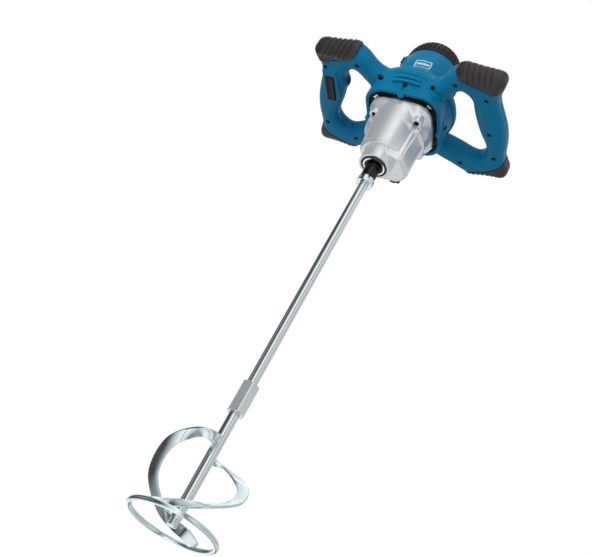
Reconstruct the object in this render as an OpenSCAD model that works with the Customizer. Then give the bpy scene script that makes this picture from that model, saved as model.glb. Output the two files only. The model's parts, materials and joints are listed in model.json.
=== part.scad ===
// Two-handled paddle mixer with a helical mixing paddle.
// Units are millimetres. Origin: centre of the gear case neck's front face.
// +Z runs up the spindle axis towards the motor, +X to the right handle,
// and -Y to the side that carries the badge.

/* [Mixing paddle] */
// Length from the neck face down to the ring's wire centre
ring_drop = 598; // [560:2:700]
// Radius of the ring's wire centre line
ring_radius = 56.5; // [40:0.5:80]
// Radius of the ring's wire
wire_radius = 3.25; // [2:0.25:6]
// Diameter of both rods
rod_diameter = 14; // [10:1:20]
// Width across flats of the hexagonal coupling
coupling_flats = 22; // [17:1:30]
// Length of the hexagonal coupling
coupling_length = 45; // [30:1:60]
// Width of the flat bar that each blade is bent from
blade_width = 14; // [10:1:25]
// Thickness of the blade bar
blade_thickness = 3.2; // [2:0.1:6]

/* [Gear case] */
// Radius of the cylindrical neck
neck_radius = 24; // [20:0.5:30]
// Length of the cylindrical neck
neck_length = 22; // [15:1:30]
// Offset of the motor axis from the spindle axis
motor_offset = 16; // [10:1:25]

/* [Handles] */
// Front of the handle frame above the neck face
frame_front = 130; // [127:1:133]
// Plane where the two handle shells meet
frame_split = 147.5; // [146:0.5:149]
// Back of the handle frame
frame_back = 165; // [162:1:172]
// Wall thickness of the handle shells
shell_wall = 3.2; // [2:0.1:5]

/* [Hidden] */
$fn = 96;
// Layshaft centre: 22 mm from the motor axis, 26 mm from the spindle axis
lay_x = 21.909;
lay_y = 14;
mesh_angle_1 = atan2(lay_y - motor_offset, lay_x);
mesh_angle_2 = atan2(-lay_y, -lay_x);
screw_half = 33.6;
// Turn of the two brushes about the motor axis
brush_angle = 32;
// Short straight steps from one blade key point to the next
blade_steps = 3;
screw_points = [
    [77, -63.2],
    [41.5, -47],
    [124.5, -46],
    [139, 66],
    [86, 90.5],
    [-77, -63.2],
    [-41.5, -47],
    [-131.5, -49],
    [-139, 66.5],
    [-91, 89.5],
    [131, 19]
];

// ---------- helpers ----------

// One corner-cutting pass over a closed outline.
function soften(p) = [
    for (i = [0 : len(p) - 1])
        let (a = p[i], b = p[(i + 1) % len(p)])
        for (t = [0.25, 0.75]) a + (b - a) * t
];

function unit(v) = v / norm(v);

function flat(v) = [v[0], v[1]];

// Outline moved inwards by d; the outline runs clockwise seen from +Z with Y down.
// The third value of a point is its share of the move.
function inset(p, d) = [
    for (i = [0 : len(p) - 1])
        let (
            n = len(p),
            t = unit(flat(p[(i + 1) % n] - p[(i + n - 1) % n]))
        )
        flat(p[i]) + d * p[i][2] * [-t[1], t[0]]
];

// Solid between stacked copies of one outline; each ring is [height, inset].
module loft(p, rings) {
    n = len(p);
    k = len(rings);
    points = [
        for (r = rings)
            for (q = inset(p, r[1])) [q[0], q[1], r[0]]
    ];
    sides = [
        for (j = [0 : k - 2])
            for (i = [0 : n - 1])
                [j * n + i, (j + 1) * n + i, (j + 1) * n + (i + 1) % n, j * n + (i + 1) % n]
    ];
    bottom = [[for (i = [0 : n - 1]) i]];
    top = [[for (i = [n - 1 : -1 : 0]) (k - 1) * n + i]];
    polyhedron(points = points, faces = concat(bottom, sides, top), convexity = 10);
}

module tube(r_out, r_in, z0, z1) {
    translate([0, 0, z0])
        difference() {
            cylinder(r = r_out, h = z1 - z0);
            translate([0, 0, -1])
                cylinder(r = r_in, h = z1 - z0 + 2);
        }
}

module on_motor_axis() {
    translate([0, motor_offset, 0])
        children();
}

module on_lay_axis() {
    translate([lay_x, lay_y, 0])
        children();
}

// Spur gear section: involute flanks at 25 degrees, module 1.
function inv(a) = tan(a) * 180 / PI - a;
function flank_angle(r, rb) = r <= rb ? 0 : inv(acos(rb / r));
function tooth_half(teeth, slack) =
    90 / teeth - slack * 180 / (PI * teeth) + flank_angle(teeth / 2, teeth / 2 * cos(25));

module gear_section(teeth, tip, root, slack) {
    rb = teeth / 2 * cos(25);
    half = tooth_half(teeth, slack);
    radii = [root, max(root + 0.01, rb), rb + (tip - rb) * 0.35, rb + (tip - rb) * 0.7, tip];
    polygon([
        for (i = [0 : teeth - 1])
            for (side = [-1, 1])
                for (k = [0 : 4])
                    let (
                        r = radii[side < 0 ? k : 4 - k],
                        a = 360 * i / teeth + side * (half - flank_angle(r, rb))
                    )
                    [r * cos(a), r * sin(a)]
    ]);
}

// ---------- handle frame outlines ----------

function mirrored(p) = [
    for (i = [len(p) - 1 : -1 : 0]) [-p[i][0], p[i][1], p[i][2]]
];

// Points of one half: X, Y and the share of the edge rounding, less at the horn tips
frame_half = [
    [20, -47.5, 1], [34.5, -47, 1], [48, -54.5, 1], [56, -63.5, 1], [64, -76, 1],
    [77.5, -87, 1], [85, -90, 1], [98, -88.5, 1], [112.5, -86.5, 1], [133, -85.5, 0.9],
    [144, -83, 0.8], [149.5, -74.5, 0.8], [145.5, -62, 0.9], [140.5, -49, 1],
    [141.5, -29.5, 1], [148, -6, 1], [153.5, 17, 1], [155, 43, 1], [152.5, 66, 1],
    [153.5, 82, 0.85], [159, 95.5, 0.7], [157, 107, 0.7], [148.5, 110.5, 0.85],
    [132.5, 111, 1], [111.5, 114.5, 1], [101, 117.5, 1], [83, 108.5, 1], [65, 99, 1],
    [51, 93, 1], [37.5, 85.5, 1], [20, 81, 1]
];
frame_outline = soften(soften(concat(frame_half, mirrored(frame_half))));
window_points = [
    [39, -4, 1], [55.5, -18.5, 1], [71.5, -37, 1], [84, -50.5, 1], [95.5, -44, 1],
    [102, -35, 1], [103.5, -19.5, 1], [107.5, 0.5, 1], [114, 24, 1], [124, 46.5, 1],
    [124.5, 59.5, 1], [118, 72, 1], [108, 79, 1], [96, 75.5, 1], [80, 67, 1],
    [59.5, 59, 1], [39, 50.5, 1]
];
window_right = soften(soften(window_points));
window_left = mirrored(window_right);
front_rings = [
    [frame_front, 12.5], [frame_front + 2.3, 5.9], [frame_front + 7, 1.8],
    [frame_front + 14, 0], [frame_split, 0]
];
rear_rings = [
    [frame_split, 0], [frame_back - 14, 0], [frame_back - 7, 1.8],
    [frame_back - 2.3, 5.9], [frame_back, 12.5]
];
window_front_rings = [
    [frame_front - 2, -12], [frame_front, -12], [frame_front + 2.3, -5.6],
    [frame_front + 7, -1.7], [frame_front + 14, 0], [frame_split + 1, 0]
];
window_rear_rings = [
    [frame_split - 1, 0], [frame_back - 14, 0], [frame_back - 7, -1.7],
    [frame_back - 2.3, -5.6], [frame_back, -12], [frame_back + 2, -12]
];

top_pad_zone = [
    [58, -110], [70, -95], [75, -86], [84, -77], [95, -71], [108, -66.5], [127, -59.5],
    [150, -57.5], [175, -56], [175, -115], [58, -115]
];
bottom_pad_zone = [
    [84, 122], [95, 109.5], [108, 105], [121, 100.5], [135, 94], [147, 85.5], [156, 76],
    [175, 62], [175, 140], [84, 140]
];

module side_zone(p, side) {
    scale([side, 1, 1])
        translate([0, 0, frame_front - 3])
            linear_extrude(height = frame_back - frame_front + 6)
                polygon(p);
}

module all_pad_zones() {
    for (side = [-1, 1]) {
        side_zone(top_pad_zone, side);
        side_zone(bottom_pad_zone, side);
    }
}

module rounded_square(half, corner, z0, z1) {
    on_motor_axis()
        translate([0, 0, z0])
            linear_extrude(height = z1 - z0)
                union() {
                    square([2 * half, 2 * (half - corner)], center = true);
                    square([2 * (half - corner), 2 * half], center = true);
                    for (x = [-1, 1])
                        for (y = [-1, 1])
                            translate([x * (half - corner), y * (half - corner)])
                                circle(r = corner, $fn = 48);
                }
}

// ---------- mixing paddle ----------

module paddle_ring() {
    color("silver")
        translate([0, 0, -ring_drop])
            rotate_extrude()
                translate([ring_radius, 0])
                    circle(r = wire_radius, $fn = 48);
}

module paddle_rod() {
    color("silver")
        translate([0, 0, -ring_drop - 2])
            cylinder(d = rod_diameter, h = ring_drop + 2 - 443);
}

module rod_coupling() {
    color("silver")
        translate([0, 0, -443])
            difference() {
                cylinder(d = coupling_flats / cos(30), h = coupling_length, $fn = 6);
                translate([0, 0, -1])
                    cylinder(r = 5, h = coupling_length + 2);
            }
}

module mixing_rod() {
    color("silver")
        union() {
            translate([0, 0, -443 + coupling_length])
                cylinder(d = rod_diameter, h = 443 - coupling_length - 28);
            translate([0, 0, -28])
                cylinder(r = 6, h = 26);
            translate([0, 0, -443 + 8])
                cylinder(r = 4.95, h = coupling_length - 8);
        }
}

module rod_collar() {
    color("gainsboro")
        translate([0, 0, -38])
            difference() {
                cylinder(r = 12.6, h = 10, $fn = 12);
                translate([0, 0, -1])
                    cylinder(d = rod_diameter, h = 12);
                for (a = [0 : 60 : 300])
                    rotate([0, 0, a])
                        translate([10.4, -1.6, 4])
                            cube([4, 3.2, 7]);
            }
}

// Key points of the upper blade: its centre line, height above the ring, and the way to its inner edge.
blade_keys = [
    [[-3, -7, 108], [-0.1, 0.1, -1]],
    [[4, -21, 108], [-0.6, 0.2, -0.8]],
    [[-16, -28, 106], [0.1, 0.9, -0.3]],
    [[-48, -16, 86], [0.8, 0.4, -0.5]],
    [[-60, 12, 53], [1, -0.2, 0]],
    [[-41, 37, 26], [0.6, -0.6, 0.4]],
    [[-14, 43, 14], [0.3, -0.5, 0.8]],
    [[1, 42, 9], [0.4, -0.5, 0.8]],
    [[15, 51, 3], [0.7, -0.6, 0.4]]
];
blade_last = len(blade_keys) - 1;

// A smooth curve through b and c, led by their neighbours a and d, with t from 0 to 1.
function through(a, b, c, d, t) =
    b + t * (c - a) / 2
    + t * t * (a - 2.5 * b + 2 * c - d / 2)
    + t * t * t * (3 * (b - c) + d - a) / 2;

// The blade's centre (part 0) or edge direction (part 1) at a place from 0 to blade_last along its keys.
function along_blade(place, part) =
    let (i = min(floor(place), blade_last - 1))
    through(
        blade_keys[max(i - 1, 0)][part],
        blade_keys[i][part],
        blade_keys[i + 1][part],
        blade_keys[min(i + 2, blade_last)][part],
        place - i
    );

module bar_slice(place) {
    centre = along_blade(place, 0);
    edge = unit(along_blade(place, 1));
    for (side = [-1, 1])
        translate(centre + edge * side * (blade_width - blade_thickness) / 2)
            sphere(d = blade_thickness, $fn = 10);
}

module blade(lift, turn) {
    difference() {
        translate([0, 0, -ring_drop])
            rotate([0, 0, turn])
                scale([1, 1, lift])
                    for (i = [0 : blade_steps * blade_last - 1])
                        hull() {
                            bar_slice(i / blade_steps);
                            bar_slice((i + 1) / blade_steps);
                        }
        translate([0, 0, -ring_drop - 2])
            cylinder(d = rod_diameter + 0.04, h = 160);
        translate([0, 0, -ring_drop])
            rotate_extrude($fn = 90)
                translate([ring_radius, 0])
                    circle(r = wire_radius + 0.04, $fn = 24);
    }
}

module blade_upper() {
    color("silver")
        blade(1, 0);
}

module blade_lower() {
    color("silver")
        blade(0.9, 180);
}

// ---------- spindle ----------

module spindle() {
    color([0.12, 0.11, 0.12])
        difference() {
            union() {
                translate([0, 0, -28])
                    cylinder(r = 11, h = 44);
                translate([0, 0, 16])
                    cylinder(r = 10, h = 50);
                translate([0, 0, 66])
                    cylinder(r = 6.5, h = 29);
                translate([0, 0, 95])
                    cylinder(r = 5, h = 8);
            }
            translate([0, 0, -29])
                cylinder(r = 6, h = 27);
            for (a = [-20, 160])
                rotate([0, 0, a])
                    translate([9.2, -12, -24])
                        cube([6, 24, 18]);
        }
}

module spindle_gear() {
    color("dimgray")
        translate([0, 0, 40])
            difference() {
                rotate([0, 0, mesh_angle_2 + 180 + 180 / 42])
                    linear_extrude(height = 16)
                        gear_section(42, 21.8, 19.9, 0.08);
                translate([0, 0, -1])
                    cylinder(r = 10, h = 18);
            }
}

module nose_bearing_inner() {
    color("lightsteelblue")
        tube(13.9, 11, 5, 15);
}

module nose_bearing_outer() {
    color("slategray")
        tube(20, 17.1, 5, 15);
}

module nose_bearing_balls() {
    color("lightgray")
        for (a = [0 : 40 : 320])
            rotate([0, 0, a])
                translate([15.5, 0, 10])
                    sphere(r = 1.58, $fn = 32);
}

module nose_seal() {
    color([0.08, 0.08, 0.08])
        difference() {
            translate([0, 0, 0.8])
                cylinder(r = 20, h = 3.4);
            cylinder(r = 11.06, h = 10);
            translate([0, 0, 0])
                cylinder(r = 16.8, h = 2.2);
        }
}

module seal_ring() {
    color("white")
        tube(16.8, 14.6, -0.4, 2.2);
}

module spindle_bush() {
    color("darkgoldenrod")
        tube(8, 5.05, 95.2, 103);
}

// ---------- gear case ----------

module gusset(x, y, z, angle) {
    translate([x, y, 0])
        rotate([0, 0, angle])
            rotate([90, 0, 0])
                translate([0, 0, -3])
                    linear_extrude(height = 6)
                        polygon([[-16, z - 46], [0, z], [0, 97], [-16, 97]]);
}

module lobe_section(grow) {
    translate([22, 16])
        circle(r = 24 + grow);
    polygon([
        [12, -30 - grow], [36 + grow, -14 - grow], [40 + grow, -10], [45.2 + grow, 10],
        [22, 16], [8, 35 + grow], [-24, 20], [-10, -20]
    ]);
    translate([4, 14])
        circle(r = 25 + grow);
}

module gear_case() {
    color([0.78, 0.79, 0.8])
        difference() {
            union() {
                cylinder(r = neck_radius, h = 12.5);
                translate([0, 0, 12.5])
                    cylinder(r = neck_radius + 0.6, h = neck_length - 10.5);
                translate([0, 0, neck_length])
                    cylinder(r1 = 29, r2 = 32.5, h = 3.5);
                translate([0, 0, neck_length + 3.5])
                    cylinder(r1 = 32.5, r2 = 35.5, h = 74.5);
                translate([0, 0, 13])
                    linear_extrude(height = 5)
                        lobe_section(-2.5);
                translate([0, 0, 18])
                    linear_extrude(height = 60)
                        lobe_section(0);
                on_motor_axis() {
                    translate([0, 0, 68])
                        cylinder(r1 = 41, r2 = 48.5, h = 9);
                    translate([0, 0, 77])
                        cylinder(r = 48.5, h = 27);
                    for (a = [45 : 90 : 315])
                        rotate([0, 0, a])
                            translate([31, 0, 82])
                                cylinder(r1 = 18, r2 = 24, h = 21.5);
                }
                for (x = [-1, 1])
                    for (y = [-1, 1])
                        on_motor_axis()
                            translate([x * screw_half, y * screw_half, 84])
                                cylinder(r = 7.4, h = 20);
                gusset(32, -18, 84, 25);
                gusset(-32, -18, 84, 145);
            }
            translate([0, 0, -1])
                cylinder(r = 20, h = 16);
            translate([0, 0, 10])
                cylinder(r = 15, h = 20);
            translate([0, 0, 28])
                cylinder(r = 28, h = 77);
            on_lay_axis() {
                translate([0, 0, 36])
                    cylinder(r = 11, h = 40);
                translate([0, 0, 28])
                    cylinder(r = 7.5, h = 9);
                translate([0, 0, 72])
                    cylinder(r = 20.5, h = 33);
            }
            on_motor_axis() {
                translate([0, 0, 80])
                    cylinder(r = 40, h = 25);
                for (x = [-1, 1])
                    for (y = [-1, 1])
                        translate([x * screw_half, y * screw_half, 83])
                            cylinder(r = 3.7, h = 22);
            }
            translate([21, 33.8, 25])
                rotate([-90, 0, 0])
                    cylinder(r = 3.05, h = 12);
        }
}

module gear_plate() {
    color([0.6, 0.61, 0.63])
        difference() {
            union() {
                on_motor_axis() {
                    translate([0, 0, 104])
                        cylinder(r = 52, h = 12);
                    for (a = [45 : 90 : 315])
                        rotate([0, 0, a])
                            translate([46, -4, 108.5])
                                cube([13, 8, 5]);
                }
                translate([0, 0, 94])
                    cylinder(r = 10.4, h = 11);
            }
            translate([0, 0, 93])
                cylinder(r = 8, h = 10);
            on_motor_axis() {
                translate([0, 0, 103])
                    cylinder(r = 5.2, h = 14);
                translate([0, 0, 107])
                    cylinder(r = 11, h = 10);
                for (x = [-1, 1])
                    for (y = [-1, 1])
                        translate([x * screw_half, y * screw_half, 103])
                            cylinder(r = 2.5, h = 14);
            }
            on_lay_axis()
                translate([0, 0, 103])
                    cylinder(r = 7.5, h = 9);
        }
}

module case_screws() {
    color([0.1, 0.1, 0.1])
        for (x = [-1, 1])
            for (y = [-1, 1])
                translate([x * screw_half, motor_offset + y * screw_half, 85.5])
                    difference() {
                        union() {
                            cylinder(r = 3.7, h = 5);
                            cylinder(r = 2.5, h = 30);
                        }
                        translate([0, 0, -1])
                            cylinder(r = 1.7, h = 4, $fn = 6);
                    }
}

module lay_shaft() {
    color("dimgray")
        on_lay_axis()
            union() {
                translate([0, 0, 29])
                    cylinder(r = 4, h = 82);
                translate([0, 0, 38])
                    rotate([0, 0, mesh_angle_2])
                        linear_extrude(height = 20)
                            gear_section(10, 5.85, 3.95, 0.08);
            }
}

module lay_wheel() {
    color("gray")
        on_lay_axis()
            translate([0, 0, 77])
                difference() {
                    rotate([0, 0, mesh_angle_1 + 180 + 180 / 36])
                        linear_extrude(height = 13)
                            gear_section(36, 18.7, 16.9, 0.08);
                    translate([0, 0, -1])
                        cylinder(r = 4, h = 15);
                }
}

module lay_bush_front() {
    color("darkgoldenrod")
        on_lay_axis()
            tube(7.5, 4.05, 28.5, 37);
}

module lay_bush_rear() {
    color("darkgoldenrod")
        on_lay_axis()
            tube(7.5, 4.05, 104, 111.5);
}

module gear_selector() {
    color([0.2, 0.2, 0.21])
        translate([21, 0, 25])
            union() {
                translate([0, 40.2, 0])
                    rotate([-90, 0, 0])
                        cylinder(r = 9, h = 3);
                translate([-7.5, 43, -3.2])
                    cube([15, 5.5, 6.4]);
                translate([0, 34, 0])
                    rotate([-90, 0, 0])
                        cylinder(r = 3, h = 7);
            }
}

// ---------- motor ----------

module armature_shaft() {
    color("dimgray")
        on_motor_axis()
            union() {
                translate([0, 0, 93])
                    cylinder(r = 4, h = 156);
                translate([0, 0, 76])
                    rotate([0, 0, mesh_angle_1])
                        linear_extrude(height = 17.5)
                            gear_section(8, 4.85, 2.95, 0.08);
            }
}

module armature_core() {
    color("saddlebrown")
        on_motor_axis()
            difference() {
                union() {
                    translate([0, 0, 152])
                        cylinder(r = 22, h = 50);
                    translate([0, 0, 144])
                        cylinder(r1 = 12, r2 = 18, h = 8);
                    translate([0, 0, 202])
                        cylinder(r1 = 18, r2 = 12, h = 8);
                }
                translate([0, 0, 140])
                    cylinder(r = 4, h = 80);
                for (a = [0 : 30 : 330])
                    rotate([0, 0, a])
                        translate([19, -1, 151])
                            cube([4, 2, 52]);
            }
}

module commutator() {
    color("peru")
        on_motor_axis()
            difference() {
                translate([0, 0, 214])
                    cylinder(r = 12, h = 18);
                translate([0, 0, 213])
                    cylinder(r = 4, h = 20);
                for (a = [0 : 20 : 340])
                    rotate([0, 0, a])
                        translate([10.8, -0.3, 213])
                            cube([2, 0.6, 20]);
            }
}

module cooling_fan() {
    color([0.15, 0.15, 0.16])
        on_motor_axis()
            difference() {
                union() {
                    translate([0, 0, 122])
                        cylinder(r = 40, h = 2);
                    translate([0, 0, 122])
                        cylinder(r = 9, h = 16);
                    for (a = [0 : 30 : 330])
                        rotate([0, 0, a])
                            translate([14, -0.9, 124])
                                cube([25, 1.8, 11]);
                }
                translate([0, 0, 121])
                    cylinder(r = 4, h = 18);
            }
}

module armature_bearing_front() {
    color("slategray")
        on_motor_axis()
            tube(11, 4.05, 107, 116);
}

module armature_bearing_rear() {
    color("slategray")
        on_motor_axis()
            tube(9, 4.05, 241, 249);
}

module stator_core() {
    color("gray")
        on_motor_axis()
            translate([0, 0, 153])
                difference() {
                    linear_extrude(height = 48)
                        difference() {
                            circle(r = 40);
                            intersection() {
                                circle(r = 33);
                                square([54, 80], center = true);
                            }
                            circle(r = 23);
                        }
                    for (y = [-37, 37])
                        translate([0, y, -1])
                            cylinder(r = 2, h = 50);
                }
}

module field_coils() {
    color("chocolate")
        on_motor_axis()
            for (s = [-1, 1])
                scale([s, 1, 1])
                    translate([0, 0, 142])
                        difference() {
                            linear_extrude(height = 70)
                                difference() {
                                    intersection() {
                                        circle(r = 33);
                                        translate([12, -33])
                                            square([15, 66]);
                                    }
                                    circle(r = 23.2);
                                }
                            translate([20, -18, 11])
                                cube([20, 36, 48]);
                        }
}

module brush_holders() {
    color([0.14, 0.13, 0.12])
        on_motor_axis()
            for (s = [0, 180])
                rotate([0, 0, s + brush_angle])
                    translate([14, 0, 223])
                        difference() {
                            translate([0, -5, -6])
                                cube([25.4, 10, 12]);
                            translate([-1, -3.2, -4.2])
                                cube([29, 6.4, 8.4]);
                        }
}

module carbon_brushes() {
    color([0.1, 0.1, 0.1])
        on_motor_axis()
            for (s = [0, 180])
                rotate([0, 0, s + brush_angle])
                    translate([12.08, -3.1, 218.9])
                        cube([16, 6.2, 8.2]);
}

module brush_caps() {
    color([0.13, 0.12, 0.12])
        on_motor_axis()
            for (s = [0, 180])
                rotate([0, 0, s + brush_angle])
                    translate([42, 0, 223])
                        rotate([0, 90, 0])
                            difference() {
                                cylinder(r = 6, h = 8.5);
                                translate([-5, -0.8, 7])
                                    cube([10, 1.6, 3]);
                            }
}

module bearing_bridge() {
    color([0.13, 0.12, 0.12])
        on_motor_axis()
            difference() {
                union() {
                    translate([0, 0, 237])
                        cylinder(r = 39.8, h = 3);
                    translate([0, 0, 238])
                        cylinder(r = 12, h = 12);
                }
                translate([0, 0, 236])
                    cylinder(r = 6, h = 20);
                translate([0, 0, 241])
                    cylinder(r = 9, h = 12);
                for (a = [0 : 45 : 315])
                    rotate([0, 0, a])
                        translate([27, 0, 230])
                            cylinder(r = 7, h = 15);
            }
}

// ---------- handle shells ----------

module frame_cavity(z0, z1) {
    translate([0, 0, z0])
        linear_extrude(height = z1 - z0)
            difference() {
                polygon(inset(frame_outline, 6));
                polygon(inset(window_right, -6));
                polygon(inset(window_left, -6));
            }
}

module screw_posts(z0, z1, r0, r1) {
    for (p = screw_points)
        translate([p[0], p[1], 0])
            hull() {
                translate([0, 0, z0])
                    cylinder(r = r0, h = 1, $fn = 14);
                translate([0, 0, z1 - 1])
                    cylinder(r = r1, h = 1, $fn = 14);
            }
}

module lock_boss() {
    translate([-108, -15, frame_split])
        rotate([0, 90, 0])
            cylinder(r1 = 10, r2 = 8, h = 6.5, $fn = 40);
}

module lock_hole() {
    translate([-113, -15, frame_split])
        rotate([0, 90, 0])
            cylinder(r = 5.08, h = 22, $fn = 40);
}

module trigger_surround() {
    hull()
        for (p = [[-132.5, -43], [-116, -44], [-115, -12], [-119, 14], [-130, 16]])
            translate([p[0], p[1], frame_front - 2.6])
                cylinder(r1 = 2.5, r2 = 5, h = 8, $fn = 24);
}

module half_space(below) {
    translate([-200, -200, below ? 0 : frame_split])
        cube([400, 400, below ? frame_split : 200]);
}

module collar_clip(angle) {
    on_motor_axis()
        rotate([0, 0, angle])
            hull()
                for (z = [107, 134])
                    translate([58, 0, z])
                        sphere(r = 4.6, $fn = 20);
}

module handle_shell_front() {
    $fn = 56;
    color([0.1, 0.42, 0.62])
        difference() {
            union() {
                difference() {
                    loft(frame_outline, front_rings);
                    loft(window_right, window_front_rings);
                    loft(window_left, window_front_rings);
                    frame_cavity(frame_front + 6, frame_split + 1);
                }
                difference() {
                    screw_posts(frame_front + 3, frame_split, 6.5, 5);
                    loft(window_right, window_front_rings);
                    loft(window_left, window_front_rings);
                }
                trigger_surround();
                intersection() {
                    lock_boss();
                    half_space(true);
                }
                on_motor_axis()
                    translate([0, 0, 126])
                        cylinder(r1 = 62, r2 = 67, h = frame_split - 126);
                rounded_square(60.5, 31, 114, 133);
                for (a = [-90, 5, 175])
                    collar_clip(a);
                for (z = [131, 140])
                    on_motor_axis()
                        translate([0, 0, z])
                            rotate([0, 0, -108])
                                rotate_extrude(angle = 36)
                                    translate([60, 0])
                                        square([8.5, 3]);
            }
            rounded_square(54.5, 25.5, 113, 131);
            on_motor_axis()
                translate([0, 0, 117])
                    cylinder(r = 60, h = 40);
            for (p = screw_points)
                translate([p[0], p[1], frame_front - 10]) {
                    cylinder(r = 3.4, h = 17.2, $fn = 16);
                    cylinder(r = 2.3, h = 50, $fn = 8);
                }
            translate([-132.3, -32.8, 110])
                cube([14.6, 45.6, 30]);
            translate([-134.3, -35.8, frame_front + 7])
                cube([18.6, 51.6, frame_split - frame_front]);
            lock_hole();
            all_pad_zones();
        }
}

module handle_shell_rear() {
    $fn = 56;
    color([0.1, 0.42, 0.62])
        difference() {
            union() {
                difference() {
                    loft(frame_outline, rear_rings);
                    loft(window_right, window_rear_rings);
                    loft(window_left, window_rear_rings);
                    frame_cavity(frame_split - 1, frame_back - 6);
                }
                difference() {
                    screw_posts(frame_split, frame_back - 3, 5, 5);
                    loft(window_right, window_rear_rings);
                    loft(window_left, window_rear_rings);
                }
                intersection() {
                    lock_boss();
                    half_space(false);
                }
                on_motor_axis() {
                    translate([0, 0, frame_split])
                        cylinder(r = 67, h = 18.5);
                    translate([0, 0, 166])
                        cylinder(r1 = 67, r2 = 48, h = 24);
                }
            }
            on_motor_axis() {
                translate([0, 0, frame_split - 1])
                    cylinder(r = 61, h = 16);
                translate([0, 0, frame_split + 14.9])
                    cylinder(r1 = 61, r2 = 44, h = 20);
                translate([0, 0, frame_split])
                    cylinder(r = 44, h = 60);
            }
            for (p = screw_points)
                translate([p[0], p[1], frame_split - 1])
                    cylinder(r = 2.3, h = 14, $fn = 8);
            lock_hole();
            all_pad_zones();
        }
}

module pad_body(zone, side) {
    rings = [
        [frame_front, 12], [frame_front + 2.3, 5.4], [frame_front + 7, 1.3],
        [frame_front + 14, -0.5], [frame_back - 14, -0.5], [frame_back - 7, 1.3],
        [frame_back - 2.3, 5.4], [frame_back, 12]
    ];
    intersection() {
        loft(frame_outline, rings);
        side_zone(zone, side);
    }
}

module top_pad(side) {
    color([0.13, 0.11, 0.1])
        difference() {
            pad_body(top_pad_zone, side);
            for (i = [0 : 3])
                for (z = [frame_front + 6, frame_back - 6])
                    hull() {
                        translate([side * (93 + 9 * i), -89, z])
                            sphere(r = 2, $fn = 12);
                        translate([side * (95 + 9 * i), -76, z > frame_split ? z + 5 : z - 5])
                            sphere(r = 2, $fn = 12);
                    }
        }
}

module bottom_pad(side) {
    color([0.13, 0.11, 0.1])
        difference() {
            pad_body(bottom_pad_zone, side);
            for (i = [0 : 4])
                for (z = [frame_front + 5, frame_back - 5])
                    hull() {
                        translate([side * (106 + 8 * i), 115 - i, z])
                            sphere(r = 1.6, $fn = 12);
                        translate([side * (106 + 8 * i), 106 - i, z > frame_split ? z + 4 : z - 4])
                            sphere(r = 1.6, $fn = 12);
                    }
        }
}

module pad_top_left() {
    top_pad(-1);
}

module pad_top_right() {
    top_pad(1);
}

module pad_bottom_left() {
    bottom_pad(-1);
}

module pad_bottom_right() {
    bottom_pad(1);
}

module shell_screws() {
    color([0.1, 0.1, 0.12])
        for (p = screw_points)
            translate([p[0], p[1], frame_front + 3])
                difference() {
                    union() {
                        cylinder(r = 3.2, h = 4.2);
                        cylinder(r = 2, h = 26);
                    }
                    translate([0, 0, -1])
                        cylinder(r = 1.5, h = 3, $fn = 6);
                }
}

// ---------- motor housing and cap ----------

module motor_housing() {
    color([0.1, 0.42, 0.62])
        difference() {
            union() {
                on_motor_axis()
                    rotate_extrude()
                        polygon([[20, 190], [48, 190], [48, 208], [46.5, 222], [44, 237], [20, 237]]);
                on_motor_axis()
                    rotate([0, 0, brush_angle])
                        translate([-48.5, 0, 223])
                            rotate([0, 90, 0])
                                cylinder(r = 9, h = 97);
                translate([0, motor_offset + 30, 206])
                    rotate([-90, 0, 0])
                        cylinder(r = 11, h = 22);
            }
            on_motor_axis()
                translate([0, 0, 189])
                    cylinder(r = 40.3, h = 49);
            on_motor_axis()
                rotate([0, 0, brush_angle])
                    translate([-60, 0, 223])
                        rotate([0, 90, 0])
                            cylinder(r = 6.1, h = 120);
            translate([0, motor_offset + 30, 206])
                rotate([-90, 0, 0])
                    cylinder(r = 8, h = 30);
        }
}

module end_cap() {
    color([0.13, 0.12, 0.12])
        difference() {
            on_motor_axis()
                rotate_extrude()
                    polygon([
                        [0, 277], [14, 276.2], [26, 273.6], [34, 269.5], [39, 263.8], [42.5, 254],
                        [45, 242], [45, 237], [41.5, 237], [41.5, 242], [39, 253], [35.6, 261.6],
                        [31.5, 266.2], [25, 269.8], [14, 272.4], [0, 273.2]
                    ]);
            on_motor_axis()
                for (a = [0 : 15 : 345])
                    rotate([0, 0, a])
                        translate([34, -1.6, 249])
                            cube([16, 3.2, 14]);
        }
}

module badge() {
    color("white")
        intersection() {
            on_motor_axis()
                tube(49, 48.02, 190, 208);
            translate([-11, -40, 191])
                cube([26, 30, 15]);
        }
}

// ---------- switch gear ----------

module trigger() {
    color([0.12, 0.11, 0.11])
        union() {
            translate([-132, -32.5, 124.5])
                cube([14, 45, 15]);
            translate([-134, -35.5, 137.5])
                cube([18, 51, 3]);
        }
}

module switch_body() {
    color([0.16, 0.16, 0.17])
        union() {
            translate([-134, -34, 148])
                cube([15.4, 50, 10]);
            translate([-128.5, -16, 146])
                cube([7, 12, 2]);
        }
}

module lock_button() {
    color([0.2, 0.2, 0.21])
        translate([-108.5, -15, frame_split])
            rotate([0, 90, 0])
                cylinder(r = 5, h = 8.5);
}

module cable_sleeve() {
    color([0.1, 0.1, 0.1])
        translate([0, motor_offset + 43, 206])
            rotate([-90, 0, 0])
                difference() {
                    union() {
                        cylinder(r = 7.9, h = 12);
                        translate([0, 0, 12])
                            cylinder(r1 = 7.9, r2 = 5.5, h = 34);
                    }
                    translate([0, 0, -1])
                        cylinder(r = 3.9, h = 60);
                }
}

module cable_stub() {
    color([0.08, 0.08, 0.08])
        translate([0, motor_offset + 44, 206])
            rotate([-90, 0, 0])
                cylinder(r = 3.9, h = 60);
}

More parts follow.
